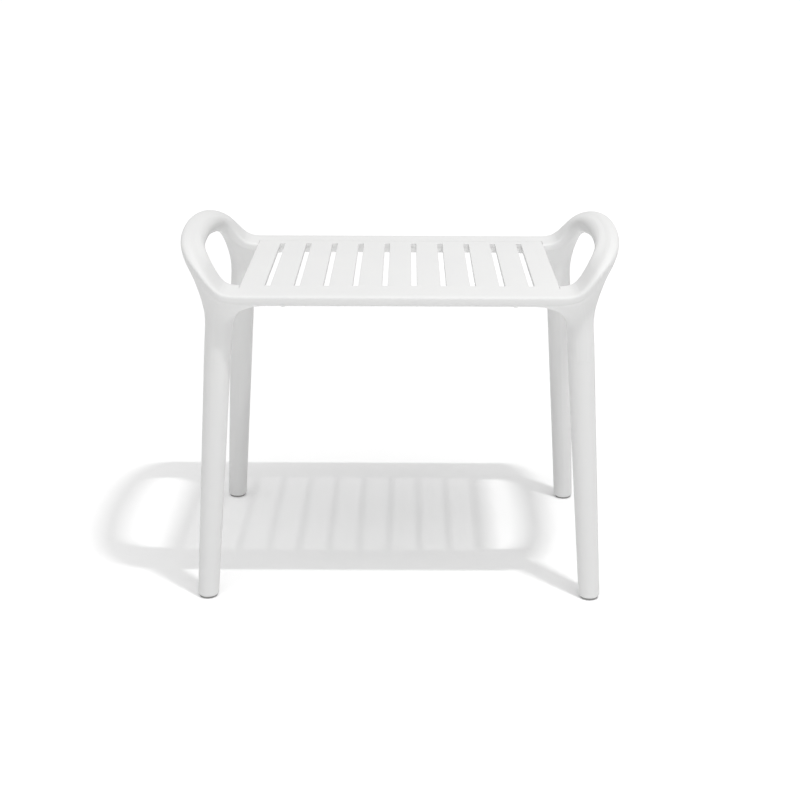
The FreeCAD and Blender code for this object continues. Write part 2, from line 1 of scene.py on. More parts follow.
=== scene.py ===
"""Shower stool: a white moulded frame with two handle loops, a slatted seat panel and four plug-in legs.

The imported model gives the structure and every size. This script adds the seat panel, rubber feet and
stacking studs as finished shapes, dresses every piece, and sets up the studio.
Lengths are metres unless a name ends in _mm. +Z is up and the front of the stool is -Y.
"""
import json
import logging
import math
from dataclasses import dataclass
from enum import Enum
from typing import Callable, Iterable

import bpy
import bmesh
from mathutils import Matrix, Vector


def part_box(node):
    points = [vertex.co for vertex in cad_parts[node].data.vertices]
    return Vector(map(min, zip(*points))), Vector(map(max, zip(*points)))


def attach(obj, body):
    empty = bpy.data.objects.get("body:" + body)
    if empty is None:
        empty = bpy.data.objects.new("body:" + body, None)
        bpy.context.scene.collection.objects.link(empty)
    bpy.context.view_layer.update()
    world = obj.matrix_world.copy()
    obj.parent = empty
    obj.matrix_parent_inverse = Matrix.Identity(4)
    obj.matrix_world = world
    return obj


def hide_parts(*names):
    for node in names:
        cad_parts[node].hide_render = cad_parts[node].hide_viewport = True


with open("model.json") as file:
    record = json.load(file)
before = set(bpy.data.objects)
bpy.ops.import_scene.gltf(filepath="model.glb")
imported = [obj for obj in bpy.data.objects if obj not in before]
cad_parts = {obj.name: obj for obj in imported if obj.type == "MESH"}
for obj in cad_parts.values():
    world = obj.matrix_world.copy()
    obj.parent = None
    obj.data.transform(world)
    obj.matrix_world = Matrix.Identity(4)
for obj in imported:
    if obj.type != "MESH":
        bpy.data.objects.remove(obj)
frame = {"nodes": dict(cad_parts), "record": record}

log = logging.getLogger("shower_stool")

MM = 0.001
NEAR = 0.02 * MM                  # tolerance when a face or an edge is picked by its place
LEVEL = 0.9                       # a face is level when its normal's Z is beyond this
SMOOTH_BELOW = math.radians(35.0)  # edges that turn less than this are shaded smooth
WAVE_LENGTH = math.tau / 20       # length of one band of the wave texture at a scale of 1
WHITE = (1.0, 1.0, 1.0, 1.0)
BODY = "root"


class Corner(Enum):
    """The four corners of the stool, with the signs of their X and Y."""

    FRONT_LEFT = (-1, -1)
    FRONT_RIGHT = (1, -1)
    REAR_LEFT = (-1, 1)
    REAR_RIGHT = (1, 1)

    @property
    def label(self) -> str:
        """Name of the corner as it stands in the names of pieces."""
        return self.name.lower()


class Slot(Enum):
    """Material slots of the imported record."""

    POLYPROPYLENE = "white_polypropylene"
    POLYETHYLENE = "white_polyethylene"
    RUBBER = "grey_rubber"
    STEEL = "stainless_steel"
    BRASS = "brass"


# ---------------------------------------------------------------- colour and node helpers
def linear_from_hex(colour: str) -> tuple[float, float, float, float]:
    """Turn an sRGB hex colour into a linear one.

    Args:
        colour: Hex colour such as "#E8E8E6".

    Returns:
        Linear red, green, blue and an alpha of 1.
    """
    channels = [int(colour[start:start + 2], 16) / 255 for start in (1, 3, 5)]
    red, green, blue = (c / 12.92 if c <= 0.04045 else ((c + 0.055) / 1.055) ** 2.4 for c in channels)
    return red, green, blue, 1.0


def add_node(
    tree: bpy.types.NodeTree,
    kind: str,
    inputs: dict[str | int, object] | None = None,
    **settings: object,
) -> bpy.types.Node:
    """Add a node with its settings, values and links.

    Args:
        tree: Node tree that gets the node.
        kind: Blender's name for the node type.
        inputs: Value or linked output socket for each named or numbered input.
        settings: Properties of the node itself.

    Returns:
        The new node.
    """
    node = tree.nodes.new(kind)
    for name, value in settings.items():
        setattr(node, name, value)
    for name, value in (inputs or {}).items():
        if isinstance(value, bpy.types.NodeSocket):
            tree.links.new(value, node.inputs[name])
        else:
            node.inputs[name].default_value = value
    return node


def start_material(name: str) -> tuple[bpy.types.Material, bpy.types.Node, bpy.types.NodeSocket]:
    """Start a material whose patterns sit on the piece itself.

    Args:
        name: Name of the material.

    Returns:
        The material, its shader and the socket that gives the place on the piece.
    """
    material = bpy.data.materials.new(name)
    material.use_nodes = True
    tree = material.node_tree
    place = add_node(tree, "ShaderNodeTexCoord").outputs["Object"]
    return material, tree.nodes["Principled BSDF"], place


# ---------------------------------------------------------------- finishes
@dataclass(frozen=True)
class MouldedPlastic:
    """Injection-moulded plastic whose tool was spark-eroded to a fine satin grain."""

    name: str
    light: str
    dark: str
    ior: float
    roughness: float
    grain_mm: float
    grain_depth_mm: float
    flow_mm: float = 90.0
    rubbed_mm: float = 30.0
    roughness_spread: float = 0.05
    specular_level: float = 0.3

    def build(self) -> bpy.types.Material:
        """Make the material.

        Returns:
            Plastic with faint flow clouding, a satin grain and rubbed patches.
        """
        material, shader, place = start_material(self.name)
        tree = material.node_tree
        # Flow clouding: pigment that spread unevenly as the melt filled the tool.
        cloud = add_node(
            tree, "ShaderNodeTexNoise",
            {"Vector": place, "Scale": 1 / (self.flow_mm * MM), "Detail": 3.0, "Roughness": 0.5},
        )
        tint = add_node(
            tree, "ShaderNodeMix",
            {"Factor": cloud.outputs["Fac"], 6: linear_from_hex(self.dark), 7: linear_from_hex(self.light)},
            data_type="RGBA",
        )
        # Handling polishes some patches and dulls others.
        rubbed = add_node(
            tree, "ShaderNodeTexNoise",
            {"Vector": place, "Scale": 1 / (self.rubbed_mm * MM), "Detail": 4.0, "Roughness": 0.6},
        )
        satin = add_node(
            tree, "ShaderNodeMapRange",
            {
                "Value": rubbed.outputs["Fac"],
                "To Min": self.roughness - self.roughness_spread,
                "To Max": self.roughness + self.roughness_spread,
            },
        )
        # The real grain is about 0.2 mm across; it is drawn coarser so that it shows.
        grain = add_node(
            tree, "ShaderNodeTexNoise",
            {"Vector": place, "Scale": 1 / (self.grain_mm * MM), "Detail": 2.0, "Roughness": 0.6},
        )
        relief = add_node(
            tree, "ShaderNodeBump",
            {"Height": grain.outputs["Fac"], "Distance": self.grain_depth_mm * MM, "Strength": 1.0},
        )
        tree.links.new(tint.outputs[2], shader.inputs["Base Color"])
        tree.links.new(satin.outputs["Result"], shader.inputs["Roughness"])
        tree.links.new(relief.outputs["Normal"], shader.inputs["Normal"])
        shader.inputs["IOR"].default_value = self.ior
        shader.inputs["Specular IOR Level"].default_value = self.specular_level
        return material


@dataclass(frozen=True)
class MouldedRubber:
    """Thermoplastic rubber, moulded matt, with dust held in its pores."""

    name: str
    clean: str
    dusty: str
    ior: float = 1.52
    roughness: float = 0.82
    pore_mm: float = 0.9
    pore_depth_mm: float = 0.05
    scuff_mm: float = 6.0

    def build(self) -> bpy.types.Material:
        """Make the material.

        Returns:
            Matt rubber with fine pores and scuffed, paler patches.
        """
        material, shader, place = start_material(self.name)
        tree = material.node_tree
        scuff = add_node(
            tree, "ShaderNodeTexNoise",
            {"Vector": place, "Scale": 1 / (self.scuff_mm * MM), "Detail": 5.0, "Roughness": 0.65},
        )
        tint = add_node(
            tree, "ShaderNodeMix",
            {"Factor": scuff.outputs["Fac"], 6: linear_from_hex(self.clean), 7: linear_from_hex(self.dusty)},
            data_type="RGBA",
        )
        pores = add_node(
            tree, "ShaderNodeTexVoronoi",
            {"Vector": place, "Scale": 1 / (self.pore_mm * MM)},
        )
        relief = add_node(
            tree, "ShaderNodeBump",
            {"Height": pores.outputs["Distance"], "Distance": self.pore_depth_mm * MM, "Strength": 0.8},
        )
        tree.links.new(tint.outputs[2], shader.inputs["Base Color"])
        tree.links.new(relief.outputs["Normal"], shader.inputs["Normal"])
        shader.inputs["Roughness"].default_value = self.roughness
        shader.inputs["IOR"].default_value = self.ior
        return material


@dataclass(frozen=True)
class TurnedMetal:
    """Bar metal that was turned or stamped, with the fine marks that the tool leaves."""

    name: str
    bright: str
    dull: str
    roughness: float
    dulled_by: float = 0.1
    polished_by: float = 0.06
    mark_mm: float = 0.35
    mark_depth_mm: float = 0.008
    stain_mm: float = 4.0

    def build(self) -> bpy.types.Material:
        """Make the material.

        Returns:
            Metal with tool marks and slightly uneven brightness.
        """
        material, shader, place = start_material(self.name)
        tree = material.node_tree
        stain = add_node(
            tree, "ShaderNodeTexNoise",
            {"Vector": place, "Scale": 1 / (self.stain_mm * MM), "Detail": 4.0},
        )
        tint = add_node(
            tree, "ShaderNodeMix",
            {"Factor": stain.outputs["Fac"], 6: linear_from_hex(self.dull), 7: linear_from_hex(self.bright)},
            data_type="RGBA",
        )
        dulling = add_node(
            tree, "ShaderNodeMapRange",
            {
                "Value": stain.outputs["Fac"],
                "To Min": self.roughness + self.dulled_by,
                "To Max": self.roughness - self.polished_by,
            },
        )
        # Turning marks run across the axis of the fastener, which is close to upright.
        marks = add_node(
            tree, "ShaderNodeTexWave",
            {"Vector": place, "Scale": WAVE_LENGTH / (self.mark_mm * MM), "Distortion": 1.5, "Detail": 2.0},
            bands_direction="Z",
        )
        relief = add_node(
            tree, "ShaderNodeBump",
            {"Height": marks.outputs["Fac"], "Distance": self.mark_depth_mm * MM, "Strength": 0.6},
        )
        tree.links.new(tint.outputs[2], shader.inputs["Base Color"])
        tree.links.new(dulling.outputs["Result"], shader.inputs["Roughness"])
        tree.links.new(relief.outputs["Normal"], shader.inputs["Normal"])
        shader.inputs["Metallic"].default_value = 1.0
        return material


# Polypropylene: bluish-neutral white, faintly waxy, satin from the spark-eroded tool.
FRAME_PLASTIC = MouldedPlastic(
    name="white moulded polypropylene", light="#E1E1E0", dark="#DDDDDD",
    ior=1.49, roughness=0.6, grain_mm=0.7, grain_depth_mm=0.010,
)
# Polyethylene: the same white, but softer and waxier, and it takes a smoother skin.
STUD_PLASTIC = MouldedPlastic(
    name="white moulded polyethylene", light="#E0E0DE", dark="#D9D9D7",
    ior=1.51, roughness=0.5, grain_mm=0.9, grain_depth_mm=0.006, flow_mm=12.0, rubbed_mm=4.0,
)
# Thermoplastic rubber: pale grey, dead matt, a little paler where it scuffs.
FOOT_RUBBER = MouldedRubber(name="grey thermoplastic rubber", clean="#8F8F8E", dusty="#A6A6A3")
# A2 stainless steel: neutral and bright, with fine turning marks.
FASTENER_STEEL = TurnedMetal(name="stainless steel", bright="#CFCFD0", dull="#B4B4B6", roughness=0.3)
# Free-cutting brass: warm yellow, a little brown where it has tarnished.
INSERT_BRASS = TurnedMetal(name="turned brass", bright="#D9BB74", dull="#B8924C", roughness=0.32)


class Wardrobe:
    """Every finish of the stool, made once and handed out by material slot."""

    def __init__(self) -> None:
        """Make the five materials."""
        self.by_slot: dict[Slot, bpy.types.Material] = {
            Slot.POLYPROPYLENE: FRAME_PLASTIC.build(),
            Slot.POLYETHYLENE: STUD_PLASTIC.build(),
            Slot.RUBBER: FOOT_RUBBER.build(),
            Slot.STEEL: FASTENER_STEEL.build(),
            Slot.BRASS: INSERT_BRASS.build(),
        }

    def dress(self, piece: bpy.types.Object, slot: Slot) -> None:
        """Give a piece the finish of a slot.

        Args:
            piece: New piece or carried-over node.
            slot: Slot whose finish it gets.
        """
        material = self.by_slot[slot]
        if piece.data.materials:
            for number in range(len(piece.data.materials)):
                piece.data.materials[number] = material
        else:
            piece.data.materials.append(material)


# ---------------------------------------------------------------- modelling helpers
def start_clean() -> None:
    """Leave edit mode and deselect everything."""
    if bpy.context.object and bpy.context.object.mode != "OBJECT":
        bpy.ops.object.mode_set(mode="OBJECT")
    bpy.ops.object.select_all(action="DESELECT")


def edit_mesh(piece: bpy.types.Object) -> bmesh.types.BMesh:
    """Mesh of the piece that is open in edit mode."""
    return bmesh.from_edit_mesh(piece.data)


def pick_faces(piece: bpy.types.Object, wanted: Callable[[bmesh.types.BMFace], bool]) -> int:
    """Select the faces that pass a test, and nothing else.

    Args:
        piece: Object open in edit mode, with its place still in its mesh.
        wanted: Test of one face.

    Returns:
        How many faces are selected.
    """
    bpy.ops.mesh.select_all(action="DESELECT")
    bpy.ops.mesh.select_mode(type="FACE")
    mesh = edit_mesh(piece)
    chosen = [face for face in mesh.faces if wanted(face)]
    for face in chosen:
        face.select = True
    mesh.select_flush_mode()
    bmesh.update_edit_mesh(piece.data)
    return len(chosen)


def pick_edges(piece: bpy.types.Object, wanted: Callable[[bmesh.types.BMEdge], bool]) -> int:
    """Select the edges that pass a test, and nothing else.

    Args:
        piece: Object open in edit mode, with its place still in its mesh.
        wanted: Test of one edge.

    Returns:
        How many edges are selected.
    """
    bpy.ops.mesh.select_all(action="DESELECT")
    bpy.ops.mesh.select_mode(type="EDGE")
    mesh = edit_mesh(piece)
    chosen = [edge for edge in mesh.edges if wanted(edge)]
    for edge in chosen:
        edge.select = True
    mesh.select_flush_mode()
    bmesh.update_edit_mesh(piece.data)
    return len(chosen)


def cut_across(places: Iterable[float], axis: int) -> None:
    """Cut the whole mesh in edit mode with planes square to an axis.

    Args:
        places: Where each plane crosses the axis.
        axis: 0 for X, 1 for Y, 2 for Z.
    """
    normal = [0.0, 0.0, 0.0]
    normal[axis] = 1.0
    for place in places:
        point = [0.0, 0.0, 0.0]
        point[axis] = place
        bpy.ops.mesh.select_all(action="SELECT")
        bpy.ops.mesh.bisect(plane_co=point, plane_no=normal)


def push_out(distance: Vector) -> None:
    """Extrude the selected faces as one region and move them."""
    bpy.ops.mesh.extrude_region_move(TRANSFORM_OT_translate={"value": tuple(distance)})


def push_up(height: float) -> None:
    """Extrude the selected faces straight up, or down when the height is negative."""
    push_out(Vector((0.0, 0.0, height)))


def close_and_face_out() -> None:
    """Merge doubles, turn the faces outwards and leave edit mode with smooth rounds."""
    bpy.ops.mesh.select_all(action="SELECT")
    bpy.ops.mesh.remove_doubles(threshold=NEAR / 4)
    bpy.ops.mesh.normals_make_consistent(inside=False)
    bpy.ops.object.mode_set(mode="OBJECT")
    bpy.ops.object.shade_smooth_by_angle(angle=SMOOTH_BELOW)


def rename(piece: bpy.types.Object, name: str) -> None:
    """Give an object and its mesh the same name."""
    piece.name = name
    piece.data.name = name


def bake_place(piece: bpy.types.Object) -> None:
    """Put the object's place into its mesh, so that it sits at the origin, unturned."""
    bpy.ops.object.select_all(action="DESELECT")
    piece.select_set(True)
    bpy.context.view_layer.objects.active = piece
    bpy.ops.object.transform_apply(location=True, rotation=True, scale=True)


def mirrored_copy(piece: bpy.types.Object, name: str, corner: Corner) -> bpy.types.Object:
    """Copy a finished piece of the rear right corner to another corner, with its own mesh.

    Args:
        piece: Piece modelled in the rear right corner.
        name: Name of the copy.
        corner: Where the copy goes.

    Returns:
        The copy, at the origin with its place in its mesh.
    """
    start_clean()
    piece.select_set(True)
    bpy.context.view_layer.objects.active = piece
    bpy.ops.object.duplicate(linked=False)
    copy = bpy.context.object
    rename(copy, name)
    side_x, side_y = corner.value
    copy.scale = (side_x, side_y, 1.0)
    bake_place(copy)
    if side_x * side_y < 0:
        bpy.ops.object.mode_set(mode="EDIT")
        bpy.ops.mesh.select_all(action="SELECT")
        bpy.ops.mesh.normals_make_consistent(inside=False)
        bpy.ops.object.mode_set(mode="OBJECT")
    return copy


def hand_in(piece: bpy.types.Object, node: str, slot: Slot, wardrobe: Wardrobe) -> None:
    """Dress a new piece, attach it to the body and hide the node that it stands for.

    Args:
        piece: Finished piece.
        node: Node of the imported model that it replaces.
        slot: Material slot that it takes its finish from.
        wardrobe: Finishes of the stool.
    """
    wardrobe.dress(piece, slot)
    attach(piece, BODY)
    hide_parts(node)
    log.info("%s: %d faces", piece.name, len(piece.data.polygons))


# ---------------------------------------------------------------- seat panel
@dataclass
class SeatPanel:
    """Slatted panel that drops into the frame: thick lips, ten slots and a rib under each slat."""

    slot_count: int = 10
    slot_margin: float = 35.5 * MM
    slot_width: float = 7.5 * MM
    slot_corner: float = 1.2 * MM
    slat_thickness: float = 5.0 * MM
    lip_thickness: float = 8.0 * MM
    lip_width: float = 14.0 * MM
    rib_width: float = 4.0 * MM
    rib_end_gap: float = 0.5 * MM
    rib_draft: float = 0.4 * MM
    slot_round: float = 0.7 * MM
    end_round: float = 1.2 * MM
    round_segments: int = 3

    def __post_init__(self) -> None:
        """Take the panel's outer size from its node."""
        self.low, self.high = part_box("seat_panel")
        self.half_length = self.high.x
        self.half_depth = self.high.y
        self.top = self.high.z
        self.slat_bottom = self.top - self.slat_thickness
        self.lip_bottom = self.top - self.lip_thickness
        self.opening_y = self.half_depth - self.lip_width
        self.slot_end = self.opening_y - self.rib_end_gap

    def slot_centres(self) -> list[float]:
        """X of the middle of each slot."""
        first = self.slot_margin - self.half_length
        pitch = -2 * first / (self.slot_count - 1)
        return [first + pitch * number for number in range(self.slot_count)]

    def slat_centres(self) -> list[float]:
        """X of the middle of each slat, the two end slats included."""
        edges = [-self.half_length]
        for x in self.slot_centres():
            edges += [x - self.slot_width / 2, x + self.slot_width / 2]
        edges.append(self.half_length)
        return [(edges[i] + edges[i + 1]) / 2 for i in range(0, len(edges), 2)]

    def in_a_rib(self, point: Vector) -> bool:
        """Whether a point lies within a rib in plan."""
        if abs(point.y) > self.slot_end:
            return False
        return any(abs(point.x - x) < self.rib_width / 2 for x in self.slat_centres())

    def add_slab(self) -> bpy.types.Object:
        """Add the flat slab that the panel is cut from.

        Returns:
            Slab of slat thickness, left open in edit mode.
        """
        start_clean()
        middle_z = (self.top + self.slat_bottom) / 2
        bpy.ops.mesh.primitive_cube_add(size=1.0, location=(0.0, 0.0, middle_z))
        slab = bpy.context.object
        rename(slab, "slatted_seat")
        slab.scale = (self.half_length * 2, self.half_depth * 2, self.slat_thickness)
        bake_place(slab)
        bpy.ops.object.mode_set(mode="EDIT")
        return slab

    def cut_grid(self) -> None:
        """Cut the slab where slots, ribs and lips begin and end."""
        cuts_x = []
        for centres, width in ((self.slot_centres(), self.slot_width), (self.slat_centres(), self.rib_width)):
            for x in centres:
                cuts_x += [x - width / 2, x + width / 2]
        cut_across(cuts_x, axis=0)
        cut_across([-self.opening_y, -self.slot_end, self.slot_end, self.opening_y], axis=1)

    def open_slots(self, panel: bpy.types.Object) -> None:
        """Join the top and bottom of each slot into a hole right through."""
        for centre in self.slot_centres():
            pick_faces(
                panel,
                lambda face: abs(face.normal.z) > LEVEL
                and abs(face.calc_center_median().x - centre) < self.slot_width / 2
                and abs(face.calc_center_median().y) < self.slot_end,
            )
            bpy.ops.mesh.bridge_edge_loops()

    def round_slot_corners(self, panel: bpy.types.Object) -> None:
        """Round the four upright corners of each slot."""
        half = self.slot_width / 2
        pick_edges(
            panel,
            lambda edge: abs(edge.verts[0].co.z - edge.verts[1].co.z) > NEAR
            and abs(abs(edge.verts[0].co.y) - self.slot_end) < NEAR
            and any(abs(abs(edge.verts[0].co.x - x) - half) < NEAR for x in self.slot_centres()),
        )
        bpy.ops.mesh.bevel(offset=self.slot_corner, segments=self.round_segments, affect="EDGES")

    def grow_lips(self, panel: bpy.types.Object) -> None:
        """Thicken the two long edges that lie on the rails."""
        pick_faces(
            panel,
            lambda face: face.normal.z < -LEVEL and abs(face.calc_center_median().y) > self.opening_y,
        )
        push_up(self.lip_bottom - self.slat_bottom)

    def grow_ribs(self, panel: bpy.types.Object) -> None:
        """Draw a stiffening rib down from each slat, a little narrower at its lower edge."""
        pick_faces(
            panel,
            lambda face: face.normal.z < -LEVEL
            and abs(face.calc_center_median().z - self.slat_bottom) < NEAR
            and self.in_a_rib(face.calc_center_median()),
        )
        push_up(self.low.z - self.slat_bottom)
        mesh = edit_mesh(panel)
        for centre in self.slat_centres():
            for vert in mesh.verts:
                if abs(vert.co.z - self.low.z) < NEAR and abs(vert.co.x - centre) < self.rib_width:
                    vert.co.x -= math.copysign(self.rib_draft, vert.co.x - centre)
        bmesh.update_edit_mesh(panel.data)

    def soften_edges(self, panel: bpy.types.Object) -> None:
        """Round the slots' rims and the two free ends, each by its own radius."""

        def on_top(edge: bmesh.types.BMEdge) -> bool:
            """Whether an edge lies in the seat's top face and borders a side wall."""
            if any(abs(vert.co.z - self.top) > NEAR for vert in edge.verts):
                return False
            return any(abs(face.normal.z) < LEVEL for face in edge.link_faces)

        def is_inner(edge: bmesh.types.BMEdge) -> bool:
            """Whether an edge is clear of the panel's outline."""
            middle = (edge.verts[0].co + edge.verts[1].co) / 2
            return abs(middle.x) < self.half_length - NEAR and abs(middle.y) < self.half_depth - NEAR

        def is_free_end(edge: bmesh.types.BMEdge) -> bool:
            """Whether an edge runs along one of the two ends at a hand opening."""
            return all(abs(abs(vert.co.x) - self.half_length) < NEAR for vert in edge.verts)

        pick_edges(panel, lambda edge: on_top(edge) and is_inner(edge))
        bpy.ops.mesh.bevel(offset=self.slot_round, segments=self.round_segments, affect="EDGES")
        pick_edges(panel, lambda edge: on_top(edge) and is_free_end(edge))
        bpy.ops.mesh.bevel(offset=self.end_round, segments=self.round_segments, affect="EDGES")

    def build(self, wardrobe: Wardrobe) -> bpy.types.Object:
        """Model the panel and hand it in.

        Args:
            wardrobe: Finishes of the stool.

        Returns:
            The finished panel.
        """
        panel = self.add_slab()
        self.cut_grid()
        self.open_slots(panel)
        self.round_slot_corners(panel)
        self.grow_lips(panel)
        self.grow_ribs(panel)
        self.soften_edges(panel)
        close_and_face_out()
        hand_in(panel, "seat_panel", Slot.POLYPROPYLENE, wardrobe)
        return panel


# ---------------------------------------------------------------- rubber feet
@dataclass
class RubberFoot:
    """Rubber foot: a pad on the floor with a ringed tread, and a plain stem up the leg's bore."""

    pad_diameter: float = 23.0 * MM
    pad_round: float = 0.5 * MM
    stem_diameter: float = 18.9 * MM
    groove_depth: float = 0.7 * MM
    tread_rings: tuple[float, ...] = (9.3 * MM, 7.9 * MM, 5.4 * MM, 4.0 * MM)
    sides: int = 64
    round_segments: int = 3

    def find_place(self, corner: Corner) -> None:
        """Work out where the pad stands and how the leg leans.

        Args:
            corner: Corner whose nodes give the place.
        """
        low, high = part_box(corner.label + "_foot")
        side_x, side_y = corner.value
        radius = self.pad_diameter / 2
        x = (high.x if side_x > 0 else low.x) - side_x * radius
        y = (high.y if side_y > 0 else low.y) - side_y * radius
        self.pad_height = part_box(corner.label + "_leg")[0].z
        self.pad_top = Vector((x, y, self.pad_height))
        insert_low, insert_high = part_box(corner.label + "_leg_insert")
        run = (insert_low + insert_high) / 2 - self.pad_top
        self.lean = run / run.z
        self.stem_top = high.z - self.stem_diameter / 2 * self.lean.xy.length

    def add_pad(self) -> bpy.types.Object:
        """Add the pad as a round disc standing on the floor.

        Returns:
            The disc, left open in edit mode.
        """
        start_clean()
        middle = self.pad_top.copy()
        middle.z = self.pad_height / 2
        bpy.ops.mesh.primitive_cylinder_add(
            vertices=self.sides, radius=self.pad_diameter / 2, depth=self.pad_height, location=middle,
        )
        foot = bpy.context.object
        bake_place(foot)
        bpy.ops.object.mode_set(mode="EDIT")
        return foot

    def round_pad(self, foot: bpy.types.Object) -> None:
        """Round the rim of the pad at the floor."""
        pick_edges(foot, lambda edge: all(abs(vert.co.z) < NEAR for vert in edge.verts))
        bpy.ops.mesh.bevel(offset=self.pad_round, segments=self.round_segments, affect="EDGES")

    def cut_tread(self, foot: bpy.types.Object) -> None:
        """Sink two ring grooves into the underside by insets and extrusions."""
        pick_faces(foot, lambda face: face.normal.z < -LEVEL and len(face.verts) == self.sides)
        inset_from = self.pad_diameter / 2 - self.pad_round
        for number, radius in enumerate(self.tread_rings):
            bpy.ops.mesh.inset(thickness=inset_from - radius, depth=0.0)
            push_up(self.groove_depth if number % 2 == 0 else -self.groove_depth)
            inset_from = radius

    def raise_stem(self, foot: bpy.types.Object) -> None:
        """Draw the stem up from the pad along the leg."""
        pick_faces(foot, lambda face: face.normal.z > LEVEL and len(face.verts) == self.sides)
        bpy.ops.mesh.inset(thickness=(self.pad_diameter - self.stem_diameter) / 2, depth=0.0)
        push_out(self.lean * (self.stem_top - self.pad_height))

    def build(self, corner: Corner, name: str) -> bpy.types.Object:
        """Model the foot of one corner.

        Args:
            corner: Corner whose nodes give the place.
            name: Name of the piece.

        Returns:
            The foot, at the origin with its place in its mesh.
        """
        self.find_place(corner)
        foot = self.add_pad()
        self.round_pad(foot)
        self.cut_tread(foot)
        self.raise_stem(foot)
        close_and_face_out()
        rename(foot, name)
        return foot


# ---------------------------------------------------------------- stacking studs
@dataclass
class StackingStud:
    """Domed stud under a rail, with a low collar and a stem in the rail."""

    height: float = 4.5 * MM
    stem_diameter: float = 5.0 * MM
    collar_height: float = 0.8 * MM
    collar_step: float = 0.5 * MM
    dome_share: float = 0.9
    dome_segments: int = 6
    sides: int = 48

    def add_collar(self, middle: Vector, radius: float) -> bpy.types.Object:
        """Add the collar as a flat disc under the rail.

        Args:
            middle: Middle of the collar.
            radius: Radius of the collar.

        Returns:
            The disc, left open in edit mode.
        """
        start_clean()
        bpy.ops.mesh.primitive_cylinder_add(
            vertices=self.sides, radius=radius, depth=self.collar_height, location=middle,
        )
        stud = bpy.context.object
        bake_place(stud)
        bpy.ops.object.mode_set(mode="EDIT")
        return stud

    def draw_dome(self, stud: bpy.types.Object, tip_z: float) -> None:
        """Draw the dome down from the collar and round its end.

        Args:
            stud: Object open in edit mode.
            tip_z: Height of the stud's lowest point.
        """
        dome_height = self.height - self.collar_height
        pick_faces(stud, lambda face: face.normal.z < -LEVEL)
        bpy.ops.mesh.inset(thickness=self.collar_step, depth=0.0)
        push_up(-dome_height)
        pick_edges(stud, lambda edge: all(abs(vert.co.z - tip_z) < NEAR for vert in edge.verts))
        bpy.ops.mesh.bevel(offset=dome_height * self.dome_share, segments=self.dome_segments, affect="EDGES")

    def build(self, corner: Corner, name: str) -> bpy.types.Object:
        """Model the stud of one corner.

        Args:
            corner: Corner whose node gives the place and size.
            name: Name of the piece.

        Returns:
            The stud, at the origin with its place in its mesh.
        """
        low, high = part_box(corner.label + "_stacking_stud")
        radius = (high.x - low.x) / 2
        rail_z = low.z + self.height
        middle = (low + high) / 2
        middle.z = rail_z - self.collar_height / 2
        stud = self.add_collar(middle, radius)
        self.draw_dome(stud, low.z)
        pick_faces(
            stud,
            lambda face: face.normal.z > LEVEL and abs(face.calc_center_median().z - rail_z) < NEAR,
        )
        bpy.ops.mesh.inset(thickness=radius - self.stem_diameter / 2, depth=0.0)
        push_up(high.z - rail_z)
        close_and_face_out()
        rename(stud, name)
        return stud


# ---------------------------------------------------------------- whole stool
@dataclass
class Stool:
    """The stool: carried-over nodes and new pieces, each with its finish."""

    wardrobe: Wardrobe

    def dress_nodes(self) -> None:
        """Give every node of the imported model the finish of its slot."""
        slots = {part["node"]: Slot(part["material_slot"]) for part in frame["record"]["subparts"]}
        for name, node in frame["nodes"].items():
            self.wardrobe.dress(node, slots[name])
            log.info("%s: node in %s", name, slots[name].value)

    def add_panel(self) -> None:
        """Model the seat panel."""
        SeatPanel().build(self.wardrobe)

    def add_corners(self) -> None:
        """Model a foot and a stud in one corner, and copy each to the other three."""
        first = Corner.REAR_RIGHT
        kinds = (
            (RubberFoot(), "rubber_foot", "foot", Slot.RUBBER),
            (StackingStud(), "domed_stud", "stacking_stud", Slot.POLYETHYLENE),
        )
        originals = [maker.build(first, f"{first.label}_{kind}") for maker, kind, _, _ in kinds]
        for original, (_, kind, node_kind, slot) in zip(originals, kinds):
            for corner in Corner:
                piece = original
                if corner is not first:
                    piece = mirrored_copy(original, f"{corner.label}_{kind}", corner)
                hand_in(piece, f"{corner.label}_{node_kind}", slot, self.wardrobe)


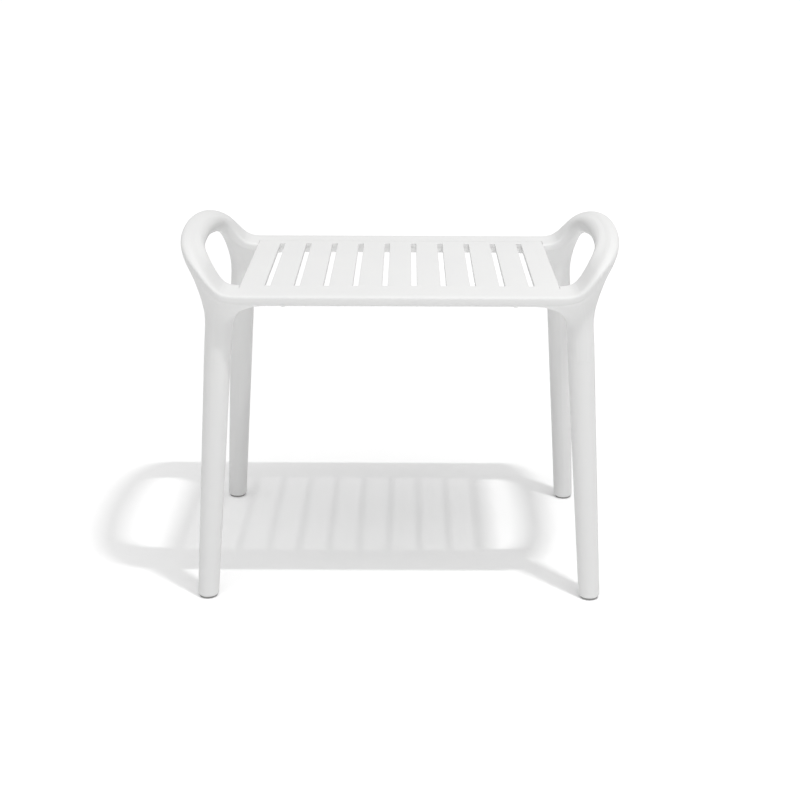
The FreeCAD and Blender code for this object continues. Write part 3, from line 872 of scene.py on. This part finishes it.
# ---------------------------------------------------------------- studio
@dataclass
class Studio:
    """White floor, a surround that dims towards the horizon, two broad fills and a key lamp."""

    floor_size: float = 80.0
    floor_colour: str = "#FDFDFD"
    floor_roughness: float = 0.9
    backdrop_near: float = 0.9
    backdrop_far: float = 2.5
    backdrop_glow: float = 0.20
    zenith_strength: float = 0.74
    horizon_strength: float = 0.24
    fill_angle_deg: float = 60.0
    overhead_strength: float = 0.82
    overhead_from: tuple[float, float, float] = (0.0, -0.31, 0.95)
    front_strength: float = 0.16
    front_from: tuple[float, float, float] = (0.15, -0.90, 0.40)
    key_place: tuple[float, float, float] = (0.69, -0.72, 3.23)
    key_power: float = 35.0
    key_width: float = 0.22
    key_depth: float = 0.05

    def lay_floor(self) -> None:
        """Lay the floor."""
        start_clean()
        bpy.ops.mesh.primitive_plane_add(size=self.floor_size, location=(0.0, 0.0, 0.0))
        floor = bpy.context.object
        floor.name = "studio_floor"
        material, shader, place = start_material("white studio floor")
        tree = material.node_tree
        shader.inputs["Base Color"].default_value = linear_from_hex(self.floor_colour)
        shader.inputs["Roughness"].default_value = self.floor_roughness
        shader.inputs["Specular IOR Level"].default_value = 0.0
        shader.inputs["Emission Color"].default_value = WHITE
        # Backdrop lamps: the floor glows a little well away from the stool.
        distance = add_node(tree, "ShaderNodeVectorMath", {0: place}, operation="LENGTH").outputs["Value"]
        glow = add_node(
            tree, "ShaderNodeMapRange",
            {
                "Value": distance,
                "From Min": self.backdrop_near,
                "From Max": self.backdrop_far,
                "To Max": self.backdrop_glow,
            },
        )
        tree.links.new(glow.outputs["Result"], shader.inputs["Emission Strength"])
        floor.data.materials.append(material)

    def hang_lights(self) -> None:
        """Set the surround, the two fills and the key lamp, which hangs level."""
        scene = bpy.context.scene
        world = bpy.data.worlds.new("studio surround")
        world.use_nodes = True
        tree = world.node_tree
        background = tree.nodes["Background"]
        background.inputs["Color"].default_value = WHITE
        direction = add_node(tree, "ShaderNodeTexCoord").outputs["Generated"]
        height = add_node(tree, "ShaderNodeSeparateXYZ", {"Vector": direction}).outputs["Z"]
        glow = add_node(
            tree, "ShaderNodeMapRange",
            {"Value": height, "To Min": self.horizon_strength, "To Max": self.zenith_strength},
        )
        tree.links.new(glow.outputs["Result"], background.inputs["Strength"])
        scene.world = world
        scene.view_settings.view_transform = "Standard"

        fills = (
            ("overhead fill", self.overhead_strength, self.overhead_from),
            ("front fill", self.front_strength, self.front_from),
        )
        for name, strength, direction in fills:
            fill = bpy.data.lights.new(name, "SUN")
            fill.energy = strength
            fill.angle = math.radians(self.fill_angle_deg)
            lamp = bpy.data.objects.new(name, fill)
            lamp.rotation_euler = Vector(direction).to_track_quat("Z", "Y").to_euler()
            scene.collection.objects.link(lamp)

        key = bpy.data.lights.new("key lamp", "AREA")
        key.shape = "RECTANGLE"
        key.size = self.key_width
        key.size_y = self.key_depth
        key.energy = self.key_power
        key_lamp = bpy.data.objects.new("key lamp", key)
        key_lamp.location = self.key_place
        scene.collection.objects.link(key_lamp)


@dataclass
class StudioCamera:
    """Camera a little above seat height, in front of the stool, looking slightly down."""

    place: tuple[float, float, float] = (0.01084, -1.87438, 0.88695)
    turn: float = -0.0056
    look_down: float = 0.34143
    tilt: float = 0.00215
    lens_mm: float = 63.0
    sensor_mm: float = 36.0

    def set_up(self) -> None:
        """Make the camera and the scene's camera of it."""
        data = bpy.data.cameras.new("studio camera")
        data.sensor_width = self.sensor_mm
        data.lens = self.lens_mm
        camera = bpy.data.objects.new("studio camera", data)
        bpy.context.scene.collection.objects.link(camera)
        forward = Vector((
            math.sin(self.turn) * math.cos(self.look_down),
            math.cos(self.turn) * math.cos(self.look_down),
            -math.sin(self.look_down),
        ))
        level = Vector((math.cos(self.turn), -math.sin(self.turn), 0.0))
        upright = level.cross(forward)
        right = level * math.cos(self.tilt) + upright * math.sin(self.tilt)
        up = upright * math.cos(self.tilt) - level * math.sin(self.tilt)
        axes = Matrix((right, up, -forward)).transposed().to_4x4()
        axes.translation = Vector(self.place)
        camera.matrix_world = axes
        bpy.context.scene.camera = camera


def main() -> None:
    """Build the stool and its studio."""
    logging.basicConfig(level=logging.INFO, format="%(name)s: %(message)s")
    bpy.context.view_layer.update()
    StudioCamera().set_up()
    stool = Stool(Wardrobe())
    stool.dress_nodes()
    stool.add_panel()
    stool.add_corners()
    studio = Studio()
    studio.lay_floor()
    studio.hang_lights()


if __name__ == "__main__":
    main()
